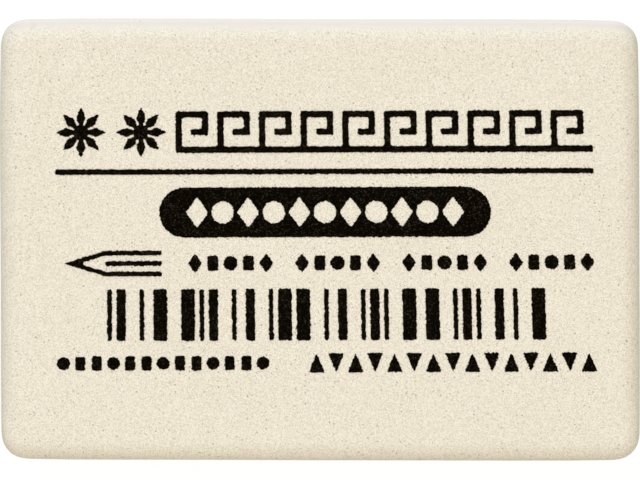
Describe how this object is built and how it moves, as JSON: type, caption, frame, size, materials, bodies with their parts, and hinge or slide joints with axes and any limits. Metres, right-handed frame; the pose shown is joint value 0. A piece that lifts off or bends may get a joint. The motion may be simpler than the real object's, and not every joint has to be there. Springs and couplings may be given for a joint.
{
  "type": "vinyl eraser",
  "caption": "Rectangular white vinyl eraser with tumbled round edges and a black stamped print of simple shapes, for rubbing out pencil marks.",
  "frame": {"origin": "middle of the resting face, under the centre of the block", "axes": "+X along the length, +Y across the width towards the band of key pattern, +Z out of the printed face"},
  "size_m": [0.04, 0.0276, 0.013],
  "materials": {
    "vinyl": "matte",
    "black_ink": "matte"
  },
  "bodies": {
    "root": {"eraser_block": "vinyl", "face_print": "black_ink"}
  },
  "joints": []
}
